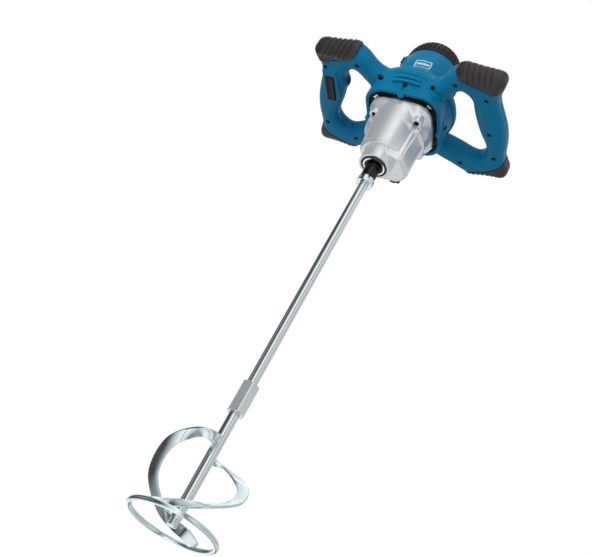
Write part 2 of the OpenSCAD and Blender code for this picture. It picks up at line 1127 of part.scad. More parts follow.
paddle_ring();
blade_upper();
blade_lower();
paddle_rod();
rod_coupling();
mixing_rod();
rod_collar();
spindle();
spindle_gear();
nose_bearing_inner();
nose_bearing_outer();
nose_bearing_balls();
nose_seal();
seal_ring();
spindle_bush();
gear_case();
gear_plate();
case_screws();
lay_shaft();
lay_wheel();
lay_bush_front();
lay_bush_rear();
gear_selector();
armature_shaft();
armature_core();
commutator();
cooling_fan();
armature_bearing_front();
armature_bearing_rear();
stator_core();
field_coils();
brush_holders();
carbon_brushes();
brush_caps();
bearing_bridge();
handle_shell_front();
handle_shell_rear();
motor_housing();
end_cap();
badge();
pad_top_left();
pad_top_right();
pad_bottom_left();
pad_bottom_right();
shell_screws();
trigger();
switch_body();
lock_button();
cable_sleeve();
cable_stub();
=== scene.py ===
"""Two-handled paddle mixer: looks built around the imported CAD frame."""

import json
import math

import bpy
import numpy as np
from mathutils import Matrix, Vector


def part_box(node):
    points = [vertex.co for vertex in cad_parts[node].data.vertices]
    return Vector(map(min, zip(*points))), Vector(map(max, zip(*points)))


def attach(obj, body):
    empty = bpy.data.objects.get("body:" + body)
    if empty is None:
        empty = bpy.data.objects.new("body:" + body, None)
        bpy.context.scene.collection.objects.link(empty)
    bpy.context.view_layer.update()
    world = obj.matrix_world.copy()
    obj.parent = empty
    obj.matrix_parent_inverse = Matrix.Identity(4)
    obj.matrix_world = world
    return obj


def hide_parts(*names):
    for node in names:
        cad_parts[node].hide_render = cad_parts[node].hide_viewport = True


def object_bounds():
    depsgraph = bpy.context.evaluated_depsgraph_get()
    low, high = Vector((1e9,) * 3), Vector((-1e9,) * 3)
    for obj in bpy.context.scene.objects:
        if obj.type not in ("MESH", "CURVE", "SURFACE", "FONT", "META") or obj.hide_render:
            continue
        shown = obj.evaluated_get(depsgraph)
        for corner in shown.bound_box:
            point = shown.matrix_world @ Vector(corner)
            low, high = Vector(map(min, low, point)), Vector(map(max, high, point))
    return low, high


MM = 0.001
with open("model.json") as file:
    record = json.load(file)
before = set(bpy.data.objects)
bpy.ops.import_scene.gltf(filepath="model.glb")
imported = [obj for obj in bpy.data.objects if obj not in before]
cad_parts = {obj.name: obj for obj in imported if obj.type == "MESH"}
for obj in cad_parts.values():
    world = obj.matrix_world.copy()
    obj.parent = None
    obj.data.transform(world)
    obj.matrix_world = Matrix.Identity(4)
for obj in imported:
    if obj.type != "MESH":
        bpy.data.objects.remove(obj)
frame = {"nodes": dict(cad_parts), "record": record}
CAD_BOX = [list(v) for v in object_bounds()]
NODES = frame["nodes"]


def node_mm(name):
    """Lowest and highest corner of a CAD node in millimetres."""
    lo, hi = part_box(name)
    return np.array(lo) / MM, np.array(hi) / MM


# ---------------------------------------------------------------- mesh helpers


def add_mesh(name, verts, faces, material, smooth=True):
    """A mesh object from millimetre vertices."""
    mesh = bpy.data.meshes.new(name)
    verts = np.asarray(verts, np.float32) * MM
    mesh.from_pydata(verts.tolist(), [], [list(map(int, f)) for f in faces])
    mesh.update()
    obj = bpy.data.objects.new(name, mesh)
    bpy.context.scene.collection.objects.link(obj)
    mesh.materials.append(material)
    if smooth:
        mesh.polygons.foreach_set("use_smooth", [True] * len(mesh.polygons))
    return obj


def add_quads(name, verts, quads, material):
    """As add_mesh for big arrays of quads."""
    mesh = bpy.data.meshes.new(name)
    verts = np.asarray(verts, np.float32) * MM
    quads = np.asarray(quads, np.int32)
    mesh.vertices.add(len(verts))
    mesh.vertices.foreach_set("co", verts.ravel())
    mesh.loops.add(quads.size)
    mesh.loops.foreach_set("vertex_index", quads.ravel())
    mesh.polygons.add(len(quads))
    mesh.polygons.foreach_set("loop_start", np.arange(0, quads.size, 4, dtype=np.int32))
    mesh.polygons.foreach_set("use_smooth", np.ones(len(quads), bool))
    mesh.update(calc_edges=True)
    mesh.validate()
    obj = bpy.data.objects.new(name, mesh)
    bpy.context.scene.collection.objects.link(obj)
    mesh.materials.append(material)
    return obj


def place(obj, body, slot, *nodes):
    """Put a piece on its body, in place of the CAD nodes named; the slot argument is not used."""
    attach(obj, body)
    if nodes:
        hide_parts(*nodes)
    return obj


def lathe(name, profile, material, centre=(0, 0), turns=96, sharp=35):
    """A body of revolution about a +Z axis; profile lists (radius, z) from one pole or rim to the other."""
    verts, faces, rings = [], [], []
    for r, z in profile:
        if r < 1e-6:
            rings.append([len(verts)])
            verts.append((centre[0], centre[1], z))
            continue
        start = len(verts)
        for i in range(turns):
            a = 2 * math.pi * i / turns
            verts.append((centre[0] + r * math.cos(a), centre[1] + r * math.sin(a), z))
        rings.append(list(range(start, start + turns)))
    for low, high in zip(rings, rings[1:]):
        for i in range(turns):
            j = (i + 1) % turns
            if len(low) == 1 and len(high) == 1:
                continue
            if len(low) == 1:
                faces.append((low[0], high[j], high[i]))
            elif len(high) == 1:
                faces.append((low[i], low[j], high[0]))
            else:
                faces.append((low[i], low[j], high[j], high[i]))
    obj = add_mesh(name, verts, faces, material)
    mark_sharp(obj, sharp)
    return obj


def mark_sharp(obj, degrees):
    """Edges that turn by more than this stay crisp while the rest is smooth."""
    obj.data.set_sharp_from_angle(angle=math.radians(degrees))


def rounded(points, radius, steps=4):
    """An open profile with its inner corners rounded."""
    out = [points[0]]
    for a, b, c in zip(points, points[1:], points[2:]):
        a, b, c = np.array(a, float), np.array(b, float), np.array(c, float)
        r = min(radius, np.linalg.norm(a - b) / 2.2, np.linalg.norm(c - b) / 2.2)
        p = b + (a - b) / np.linalg.norm(a - b) * r
        q = b + (c - b) / np.linalg.norm(c - b) * r
        for k in range(steps + 1):
            t = k / steps
            out.append(tuple((1 - t) ** 2 * p + 2 * t * (1 - t) * b + t * t * q))
    out.append(points[-1])
    return out


# ------------------------------------------------------------ distance fields


class Field:
    """A box of sample points, in millimetres, on which solids are distance functions, negative inside."""

    def __init__(self, lo, hi, step):
        self.lo, self.step = np.array(lo, float), step
        n = np.ceil((np.array(hi, float) - self.lo) / step).astype(int) + 1
        self.x, self.y, self.z = [
            (self.lo[k] + step * np.arange(n[k])).astype(np.float32) for k in range(3)
        ]
        self.X = self.x[:, None, None]
        self.Y = self.y[None, :, None]
        self.Z = self.z[None, None, :]

    def flat(self, points):
        """2-D distance to a closed outline in X and Y, as thick as one layer."""
        return polygon_distance(points, self.x[:, None], self.y[None, :])[:, :, None]

    def slab(self, flat, z0, z1, r):
        """An outline given thickness from z0 to z1, its rims rounded by r."""
        a = flat + r
        b = np.abs(self.Z - (z0 + z1) / 2) - (z1 - z0) / 2 + r
        return np.minimum(np.maximum(a, b), 0) + np.hypot(np.maximum(a, 0), np.maximum(b, 0)) - r

    def radius(self, cx=0.0, cy=0.0):
        return np.hypot(self.X - cx, self.Y - cy)

    def turned(self, profile, cx=0.0, cy=0.0, r=0.0):
        """A body of revolution about a +Z axis from its closed (radius, z) outline."""
        return polygon_distance(profile, self.radius(cx, cy), self.Z) - r

    def capsule(self, p, q, r):
        p, q = np.array(p, float), np.array(q, float)
        d = q - p
        t = ((self.X - p[0]) * d[0] + (self.Y - p[1]) * d[1] + (self.Z - p[2]) * d[2]) / max(d @ d, 1e-9)
        t = np.clip(t, 0, 1)
        return (
            np.sqrt(
                (self.X - p[0] - t * d[0]) ** 2
                + (self.Y - p[1] - t * d[1]) ** 2
                + (self.Z - p[2] - t * d[2]) ** 2
            )
            - r
        )

    def box(self, lo, hi, r=0.0):
        c, h = (np.array(lo) + np.array(hi)) / 2, (np.array(hi, float) - np.array(lo)) / 2 - r
        q = [np.abs(v - c[k]) - h[k] for k, v in enumerate((self.X, self.Y, self.Z))]
        far = np.sqrt(sum(np.maximum(v, 0) ** 2 for v in q))
        return far + np.minimum(np.maximum(q[0], np.maximum(q[1], q[2])), 0) - r

    def rod(self, axis, centre, radius, start, end, r=0.0):
        """A cylinder along axis 0, 1 or 2 between two places on that axis."""
        u, v = [k for k in range(3) if k != axis]
        co = (self.X, self.Y, self.Z)
        a = np.hypot(co[u] - centre[0], co[v] - centre[1]) - radius + r
        b = np.abs(co[axis] - (start + end) / 2) - abs(end - start) / 2 + r
        return np.minimum(np.maximum(a, b), 0) + np.hypot(np.maximum(a, 0), np.maximum(b, 0)) - r

    def mesh(self, name, d, material):
        """The zero surface of d as an object, with its vertices pulled onto the surface."""
        verts, quads = surface_nets(np.broadcast_to(d, (len(self.x), len(self.y), len(self.z))))
        return add_quads(name, self.lo + verts * self.step, quads, material)


def polygon_distance(points, x, y):
    """Signed distance to a closed polygon, negative inside."""
    pts = np.array(points, np.float32)
    best = np.full(np.broadcast(x, y).shape, 1e9, np.float32)
    inside = np.zeros(best.shape, bool)
    for a, b in zip(pts, np.roll(pts, -1, axis=0)):
        e = b - a
        wx, wy = x - a[0], y - a[1]
        t = np.clip((wx * e[0] + wy * e[1]) / max(float(e @ e), 1e-9), 0, 1)
        best = np.minimum(best, (wx - t * e[0]) ** 2 + (wy - t * e[1]) ** 2)
        if a[1] != b[1]:
            crosses = (y >= min(a[1], b[1])) & (y < max(a[1], b[1]))
            inside ^= crosses & (x < a[0] + (y - a[1]) * (b[0] - a[0]) / (b[1] - a[1]))
    return np.where(inside, -1, 1) * np.sqrt(best)


def join(a, b, k=0.0):
    """Union, with a fillet of about k."""
    if k <= 0:
        return np.minimum(a, b)
    h = np.maximum(k - np.abs(a - b), 0) / k
    return np.minimum(a, b) - h * h * k / 4


def cut(a, b, k=0.0):
    """a without b, with its new rims eased by about k."""
    return -join(-a, b, k)


def surface_nets(d):
    """Vertices in grid steps and outward quads of the zero surface of a 3-D array."""
    cells = np.array(d.shape) - 1
    quads, ids, points = [], [], []
    for axis in range(3):
        u, v = (axis + 1) % 3, (axis + 2) % 3
        low = [slice(None)] * 3
        high = [slice(None)] * 3
        low[axis], high[axis] = slice(0, -1), slice(1, None)
        a, b = d[tuple(low)], d[tuple(high)]
        hit = np.nonzero((a < 0) != (b < 0))
        at = np.array(hit).T
        va, vb = a[hit], b[hit]
        p = at.astype(float)
        p[:, axis] += va / (va - vb)
        ok = (at[:, u] > 0) & (at[:, u] < cells[u]) & (at[:, v] > 0) & (at[:, v] < cells[v])
        at, p, va = at[ok], p[ok], va[ok]
        corners = []
        for du, dv in ((-1, -1), (0, -1), (0, 0), (-1, 0)):
            c = at.copy()
            c[:, u] += du
            c[:, v] += dv
            corners.append(np.ravel_multi_index(c.T, cells))
            ids.append(corners[-1])
            points.append(p)
        q = np.stack(corners, 1)
        q[va >= 0] = q[va >= 0][:, ::-1]
        quads.append(q)
    ids, points, quads = np.concatenate(ids), np.concatenate(points), np.concatenate(quads)
    used, place_of = np.unique(ids, return_inverse=True)
    count = np.bincount(place_of)
    verts = np.stack([np.bincount(place_of, points[:, k]) / count for k in range(3)], 1)
    quads = np.searchsorted(used, quads)
    for _ in range(2):
        value, slope = sample(d, verts)
        size = np.maximum((slope**2).sum(1), 0.05)
        verts -= np.clip((value / size)[:, None] * slope, -0.4, 0.4)
    return verts, quads


def sample(d, at):
    """Value and slope of a grid at fractional places."""
    base = np.clip(np.floor(at).astype(int), 0, np.array(d.shape) - 2)
    f = at - base
    c = {}
    for i in (0, 1):
        for j in (0, 1):
            for k in (0, 1):
                c[i, j, k] = d[base[:, 0] + i, base[:, 1] + j, base[:, 2] + k]
    fx, fy, fz = f.T
    gx, gy, gz = 1 - fx, 1 - fy, 1 - fz
    x0 = (c[0, 0, 0] * gy + c[0, 1, 0] * fy) * gz + (c[0, 0, 1] * gy + c[0, 1, 1] * fy) * fz
    x1 = (c[1, 0, 0] * gy + c[1, 1, 0] * fy) * gz + (c[1, 0, 1] * gy + c[1, 1, 1] * fy) * fz
    y0 = (c[0, 0, 0] * gx + c[1, 0, 0] * fx) * gz + (c[0, 0, 1] * gx + c[1, 0, 1] * fx) * fz
    y1 = (c[0, 1, 0] * gx + c[1, 1, 0] * fx) * gz + (c[0, 1, 1] * gx + c[1, 1, 1] * fx) * fz
    z0 = (c[0, 0, 0] * gx + c[1, 0, 0] * fx) * gy + (c[0, 1, 0] * gx + c[1, 1, 0] * fx) * fy
    z1 = (c[0, 0, 1] * gx + c[1, 0, 1] * fx) * gy + (c[0, 1, 1] * gx + c[1, 1, 1] * fx) * fy
    return x0 * gx + x1 * fx, np.stack([x1 - x0, y1 - y0, z1 - z0], 1)


def soften(points):
    """One corner-cutting pass over a closed outline."""
    p = np.array(points, float)
    q = np.roll(p, -1, axis=0)
    return np.stack([p * 0.75 + q * 0.25, p * 0.25 + q * 0.75], 1).reshape(-1, 2)


# ------------------------------------------------------------------ materials


class Nodes:
    """Short names for building a material's node tree."""

    def __init__(self, name):
        self.material = bpy.data.materials.new(name)
        self.material.use_nodes = True
        self.tree = self.material.node_tree
        self.bsdf = self.tree.nodes["Principled BSDF"]
        self.coord = self.add("ShaderNodeTexCoord").outputs["Object"]

    def add(self, kind, **values):
        node = self.tree.nodes.new(kind)
        for key, value in values.items():
            if hasattr(node, key):
                setattr(node, key, value)
            else:
                self.put(node.inputs[key.replace("_", " ")], value)
        return node

    def put(self, socket, value):
        if isinstance(value, bpy.types.NodeSocket):
            self.tree.links.new(value, socket)
        else:
            socket.default_value = value

    def set(self, **values):
        for key, value in values.items():
            self.put(self.bsdf.inputs[key.replace("_", " ")], value)

    def noise(self, scale, detail=4.0, roughness=0.5, stretch=None):
        vector = self.coord
        if stretch:
            mapping = self.add("ShaderNodeMapping", Vector=vector)
            mapping.inputs["Scale"].default_value = stretch
            vector = mapping.outputs["Vector"]
        node = self.add("ShaderNodeTexNoise", Vector=vector, Scale=scale, Detail=detail, Roughness=roughness)
        return node.outputs["Fac"]

    def cells(self, scale, feature="F1"):
        node = self.add("ShaderNodeTexVoronoi", Vector=self.coord, Scale=scale)
        node.feature = feature
        return node.outputs["Distance"]

    def ramp(self, factor, *stops):
        node = self.add("ShaderNodeValToRGB", Fac=factor)
        while len(node.color_ramp.elements) > len(stops):
            node.color_ramp.elements.remove(node.color_ramp.elements[-1])
        while len(node.color_ramp.elements) < len(stops):
            node.color_ramp.elements.new(1.0)
        for element, (position, colour) in zip(node.color_ramp.elements, stops):
            element.position = position
            element.color = (*colour, 1) if isinstance(colour, tuple) else (colour, colour, colour, 1)
        return node.outputs["Color"]

    def mix(self, factor, a, b):
        node = self.add("ShaderNodeMix")
        node.data_type = "RGBA"
        self.put(node.inputs[0], factor)
        self.put(node.inputs[6], (*a, 1) if isinstance(a, tuple) else a)
        self.put(node.inputs[7], (*b, 1) if isinstance(b, tuple) else b)
        return node.outputs[2]

    def edges(self, low=0.5, high=0.56):
        """About 1 on outward edges and 0 elsewhere: the mask of the lighter edge colour, a painted highlight
        together with edge wear.
        """
        point = self.add("ShaderNodeNewGeometry").outputs["Pointiness"]
        return self.ramp(point, (low, 0.0), (high, 1.0))

    def bump(self, height, distance, strength=0.5, before=None):
        node = self.add("ShaderNodeBump", Height=height, Distance=distance, Strength=strength)
        if before:
            self.put(node.inputs["Normal"], before)
        return node.outputs["Normal"]


def plated_steel(name, colour, rough=(0.10, 0.24), stretch=(1, 1, 1), metallic=1.0, grain=0.35):
    m = Nodes(name)
    cloud = m.noise(55, 5, 0.6, stretch)
    fine = m.noise(900, 3, 0.6, stretch)
    dark = tuple(c * 0.86 for c in colour)
    m.set(
        Base_Color=m.mix(cloud, colour, dark),
        Metallic=metallic,
        Roughness=m.ramp(cloud, (0.35, rough[0]), (0.7, rough[1])),
        Normal=m.bump(fine, 0.00006, grain),
    )
    return m.material


def cast_metal(name, colour, rough=(0.30, 0.44), grain=700, edge=(0.93, 0.94, 0.95), metallic=1.0):
    m = Nodes(name)
    cloud = m.noise(40, 4, 0.55)
    pits = m.noise(grain, 4, 0.7)
    low = tuple(c * 0.88 for c in colour)
    # lighter colour on outward edges: painted highlight and edge wear
    base = m.mix(m.edges(0.51, 0.6), m.mix(cloud, colour, low), edge)
    m.set(
        Base_Color=base,
        Metallic=metallic,
        Roughness=m.ramp(cloud, (0.3, rough[0]), (0.7, rough[1])),
        Normal=m.bump(pits, 0.0002, 0.22),
    )
    return m.material


def moulded_plastic(name, colour, edge, rough=(0.34, 0.44), grain=2600):
    m = Nodes(name)
    cloud = m.noise(28, 4, 0.5)
    grains = m.cells(grain)
    low = tuple(c * 0.9 for c in colour)
    base = m.mix(cloud, colour, low)
    # lighter colour on outward edges: painted highlight and edge wear
    base = m.mix(m.edges(0.52, 0.66), base, edge)
    m.set(
        Base_Color=base,
        Roughness=m.ramp(cloud, (0.3, rough[0]), (0.7, rough[1])),
        Specular_IOR_Level=0.14,
        Normal=m.bump(grains, 0.00012, 0.18, m.bump(m.noise(160, 2), 0.0003, 0.1)),
    )
    return m.material


def soft_rubber(name, colour, edge, rough=0.5):
    m = Nodes(name)
    cloud = m.noise(60, 4, 0.6)
    grains = m.cells(1500)
    low = tuple(c * 0.75 for c in colour)
    # lighter colour on outward edges: painted highlight and edge wear
    base = m.mix(m.edges(0.51, 0.58), m.mix(cloud, colour, low), edge)
    m.set(
        Base_Color=base,
        Roughness=m.ramp(cloud, (0.3, rough - 0.08), (0.7, rough + 0.1)),
        Specular_IOR_Level=0.45,
        Normal=m.bump(grains, 0.0002, 0.3),
    )
    return m.material


# The edge colour given to cast_metal, moulded_plastic and soft_rubber lies on outward edges: painted
# highlight and edge wear.
ZINC = plated_steel("zinc_plate", (0.78, 0.87, 0.90))
ZINC_TURNED = plated_steel("zinc_plate_turned", (0.90, 0.94, 0.95), (0.05, 0.10), metallic=0.66, grain=0.0)
ZINC_ROD = plated_steel("zinc_plate_drawn", (0.85, 0.89, 0.90), (0.10, 0.20), (1, 1, 0.08))
BLUED = cast_metal("black_oxide", (0.022, 0.019, 0.018), (0.24, 0.34), 900, (0.05, 0.045, 0.043))
GEAR_STEEL = cast_metal("gear_steel", (0.42, 0.43, 0.45), (0.22, 0.36), 1200, (0.6, 0.6, 0.6))
LAMINATION = plated_steel("lamination_stack", (0.32, 0.31, 0.31), (0.4, 0.55), (1, 1, 60))
BRONZE = cast_metal("sintered_bronze", (0.50, 0.32, 0.12), (0.4, 0.5), 1800, (0.6, 0.4, 0.18))
COPPER = plated_steel("enamelled_copper", (0.58, 0.22, 0.08), (0.25, 0.4), (1, 1, 12))
ALUMINIUM = cast_metal("cast_aluminium", (0.90, 0.905, 0.91), (0.28, 0.40), 700, (0.97, 0.97, 0.97), 0.62)
BRIGHT = cast_metal("bright_ring", (0.93, 0.93, 0.93), (0.25, 0.35))
SEAL = soft_rubber("seal_rubber", (0.012, 0.012, 0.012), (0.03, 0.03, 0.03), 0.45)
BLUE = moulded_plastic("blue_shell", (0.0, 0.190, 0.365), (0.02, 0.33, 0.53))
BLACK = moulded_plastic("black_plastic", (0.030, 0.024, 0.022), (0.07, 0.06, 0.055), (0.36, 0.5), 1800)
RUBBER = soft_rubber("grip_rubber", (0.030, 0.026, 0.025), (0.08, 0.07, 0.066), 0.38)
CARBON = moulded_plastic("carbon_block", (0.03, 0.03, 0.03), (0.06, 0.06, 0.06), (0.5, 0.6))
LABEL = moulded_plastic("badge_plate", (0.55, 0.70, 0.80), (0.75, 0.85, 0.92), (0.25, 0.35))

SLOT_LOOK = {
    "zinc_plated_steel": ZINC,
    "blackened_steel": BLUED,
    "gear_steel": GEAR_STEEL,
    "lamination_steel": LAMINATION,
    "bronze": BRONZE,
    "copper_winding": COPPER,
    "cast_aluminium": ALUMINIUM,
    "bright_ring": BRIGHT,
    "seal_rubber": SEAL,
    "blue_shell": BLUE,
    "black_plastic": BLACK,
    "soft_rubber": RUBBER,
    "carbon": CARBON,
    "badge_white": LABEL,
}
for part in frame["record"]["subparts"]:
    obj = NODES[part["node"]]
    look = SLOT_LOOK[part["material_slot"]]
    if obj.data.materials:
        for i in range(len(obj.data.materials)):
            obj.material_slots[i].link = "OBJECT"
            obj.material_slots[i].material = look
    else:
        obj.data.materials.append(look)

# ------------------------------------------------- places taken from the frame

SPLIT = node_mm("handle_shell_front")[1][2]
FRAME_HALF_DEPTH = 17.5
FRONT = SPLIT - FRAME_HALF_DEPTH
BACK = SPLIT + FRAME_HALF_DEPTH
MOTOR_Y = float(np.mean([v[1] for v in node_mm("armature_shaft")]))
BRUSH_ANGLE = math.radians(32)
WIRE_R = 3.25
RING_Z = float(np.mean([v[2] for v in node_mm("paddle_ring")]))
RING_R = node_mm("paddle_ring")[1][0] - WIRE_R
STEP = 1.1
FINE = 0.8

# Control outline of one half of the handle frame, from the collar out and back, and of its window.
# A script fitted both to the silhouette in the photograph.
FRAME_HALF = [
    (20, -47.5), (34.5, -47), (48, -54.5), (56, -63.5), (64, -76), (77.5, -87), (85, -90),
    (98, -88.5), (112.5, -86.5), (133, -85.5), (144, -83), (149.5, -74.5), (145.5, -62),
    (140.5, -49), (141.5, -29.5), (148, -6), (153.5, 17), (155, 43), (152.5, 66),
    (153.5, 82), (159, 95.5), (157, 107), (148.5, 110.5), (132.5, 111), (111.5, 114.5),
    (101, 117.5), (83, 108.5), (65, 99), (51, 93), (37.5, 85.5), (20, 81),
]
WINDOW = [
    (39, -4), (55.5, -18.5), (71.5, -37), (84, -50.5), (95.5, -44), (102, -35), (103.5, -19.5),
    (107.5, 0.5), (114, 24), (124, 46.5), (124.5, 59.5), (118, 72), (108, 79), (96, 75.5),
    (80, 67), (59.5, 59), (39, 50.5),
]
TOP_ZONE = [
    (58, -110), (70, -95), (75, -86), (84, -77), (95, -71), (108, -66.5), (127, -59.5),
    (150, -57.5), (175, -56), (175, -125), (58, -125),
]
BOTTOM_ZONE = [
    (84, 122), (95, 109.5), (108, 105), (121, 100.5), (135, 94), (147, 85.5), (156, 76),
    (175, 62), (175, 140), (84, 140),
]
SCREWS = [
    (77, -63.2), (41.5, -47), (124.5, -46), (139, 66), (86, 90.5),
    (-77, -63.2), (-41.5, -47), (-131.5, -49), (-139, 66.5), (-91, 89.5), (131, 19),
]


def mirrored(points):
    return [(-x, y) for x, y in reversed(points)]


OUTLINE = soften(soften(list(FRAME_HALF) + mirrored(FRAME_HALF)))
WINDOWS = [soften(soften(WINDOW)), soften(soften(mirrored(WINDOW)))]


def frame_flat(g):
    """2-D distance of the handle frame with its two windows."""
    d = g.flat(OUTLINE)
    for w in WINDOWS:
        d = np.maximum(d, -g.flat(w))
    return d


def collar_flat(g, half, corner):
    """2-D distance of a square with round corners about the motor axis."""
    qx = np.abs(g.X) - half + corner
    qy = np.abs(g.Y - MOTOR_Y) - half + corner
    return np.minimum(np.maximum(qx, qy), 0) + np.hypot(np.maximum(qx, 0), np.maximum(qy, 0)) - corner


CLIP_ANGLES = (-90, 5, 175)


def on_collar(radius, degrees):
    """A place round the motor axis."""
    a = math.radians(degrees)
    return radius * math.cos(a), MOTOR_Y + radius * math.sin(a)


def build_shells():
    g = Field((-164, -94, 102), (164, 122, 196), STEP)
    flat = frame_flat(g)
    body = g.slab(flat, FRONT, BACK, 13.5)
    barrel = g.turned(
        [(0, 124), (61.5, 124), (66, 147), (66, 165.5), (48, 189), (0, 189)], 0, MOTOR_Y, 1.0
    )
    body = join(body, barrel, 7.0)
    collar_front = 114
    collar = g.slab(collar_flat(g, 60.5, 31), collar_front, 136, 2.0)
    body = join(body, collar, 3.0)
    rho, angle = g.radius(0, MOTOR_Y), np.degrees(np.arctan2(g.Y - MOTOR_Y, g.X))
    # two raised arcs across the top of the collar
    span = np.abs(angle + 90) * math.pi / 180 * 64
    for z in (132.5, 141.5):
        q = [np.abs(rho - 66.4) - 2.9, np.abs(g.Z - z) - 1.0, span - 19]
        outside = np.sqrt(sum(np.maximum(v, 0) ** 2 for v in q))
        arc = outside + np.minimum(np.maximum(np.maximum(q[0], q[1]), q[2]), 0)
        body = join(body, arc - 1.0, 1.2)
    band = g.turned([(55, 150.5), (69.2, 150.5), (69.6, 156), (69.2, 158.5), (55, 158.5)], 0, MOTOR_Y, 0.8)
    body = join(body, band, 1.5)
    for degrees in CLIP_ANGLES:
        x, y = on_collar(58.6, degrees)
        body = join(body, g.capsule((x, y, 112), (x, y, 131), 5.4), 2.0)
    # raised switch surround and the round boss of the lock button
    surround = polygon_distance(
        [(-132.5, -43), (-116, -44), (-115, -12), (-119, 14), (-130, 16)], g.x[:, None], g.y[None, :]
    )[:, :, None] - 4.0
    body = join(body, g.slab(surround, FRONT - 2.6, FRONT + 12, 2.2), 2.0)
    boss = g.rod(0, (-15, SPLIT), 9.6, -113, -101.6, 2.0)
    body = join(body, boss, 3.0)
    # inside: the collar mouth, the motor bay, the switch pocket and the openings for both buttons
    body = np.maximum(body, -g.slab(collar_flat(g, 54.5, 25.5), 100, 131, 0.5))
    bay_wall = [(0, 117), (56.5, 117), (56.5, 130), (60, 134), (61, 162.4), (44, 182.3), (44, 210), (0, 210)]
    bay = g.turned(bay_wall, 0, MOTOR_Y)
    body = np.maximum(body, -bay)
    body = np.maximum(body, -g.box((-135, -36.6, 137), (-115.2, 16.6, 159)))
    body = cut(body, g.box((-132.3, -32.8, 105), (-117.7, 12.8, 140), 1.2), 0.8)
    body = cut(body, g.rod(0, (-15, SPLIT), 5.3, -117, -90), 0.8)
    for x, y in SCREWS:
        hole = g.rod(2, (x, y), 3.5, 100, FRONT + 7)
        body = cut(body, hole, 0.9)
    for degrees in CLIP_ANGLES:
        x, y = on_collar(63.2, degrees)
        body = cut(body, g.capsule((x, y, 96), (x, y, 129.5), 3.3), 0.8)
    # room for the four rubber pads
    for side in (-1, 1):
        for zone in (TOP_ZONE, BOTTOM_ZONE):
            room = g.flat([(side * x, y) for x, y in zone])
            body = cut(body, room - 0.25, 1.2)
    half_gap = 0.10
    front = np.maximum(body, g.Z - (SPLIT - half_gap))
    rear = np.maximum(body, (SPLIT + half_gap) - g.Z)
    place(g.mesh("shell_front", front, BLUE), "machine", "blue_shell", "handle_shell_front")
    place(g.mesh("shell_rear", rear, BLUE), "machine", "blue_shell", "handle_shell_rear")


build_shells()


def build_pads():
    for side, word in ((-1, "left"), (1, "right")):
        x0, x1 = sorted((side * 56, side * 160))
        g = Field((x0, -98, 124), (x1, -50, 171), FINE)
        flat = frame_flat(g)
        d = g.slab(flat - 1.2, FRONT - 1.6, BACK + 1.6, 14.5)
        d = np.maximum(d, g.flat([(side * x, y) for x, y in TOP_ZONE]) + 0.2)
        skin = d.copy()
        along = side * g.X
        for i in range(5):
            lean = 0.25 * (g.Y + 90) + 0.1 * np.abs(g.Z - SPLIT)
            strip = np.abs(along - 91 - 8.5 * i - lean) - 1.2
            reach = np.maximum(strip, g.Y + 73)
            groove = np.maximum(reach, -(skin + 1.4))
            d = cut(d, groove, 1.6)
        # a shallow finger dish on the front and back faces
        for z in (FRONT - 9.7, BACK + 9.7):
            dish = g.capsule((side * 112, -66.5, z), (side * 136, -67, z), 10)
            d = cut(d, dish, 2.5)
        obj = g.mesh("pad_top_" + word + "_soft", d, RUBBER)
        place(obj, "machine", "soft_rubber", "pad_top_" + word)

        x0, x1 = sorted((side * 78, side * 166))
        g = Field((x0, 62, 124), (x1, 124, 171), FINE)
        d = g.slab(frame_flat(g) - 0.8, FRONT - 0.8, BACK + 0.8, 14)
        d = np.maximum(d, g.flat([(side * x, y) for x, y in BOTTOM_ZONE]) + 0.2)
        skin = d.copy()
        along = side * g.X
        for i in range(6):
            strip = np.abs(along - 103 - 7.5 * i) - 1.1
            groove = np.maximum(np.maximum(strip, 104 - g.Y), -(skin + 1.2))
            d = cut(d, groove, 1.0)
        obj = g.mesh("pad_bottom_" + word + "_soft", d, RUBBER)
        place(obj, "machine", "soft_rubber", "pad_bottom_" + word)


build_pads()


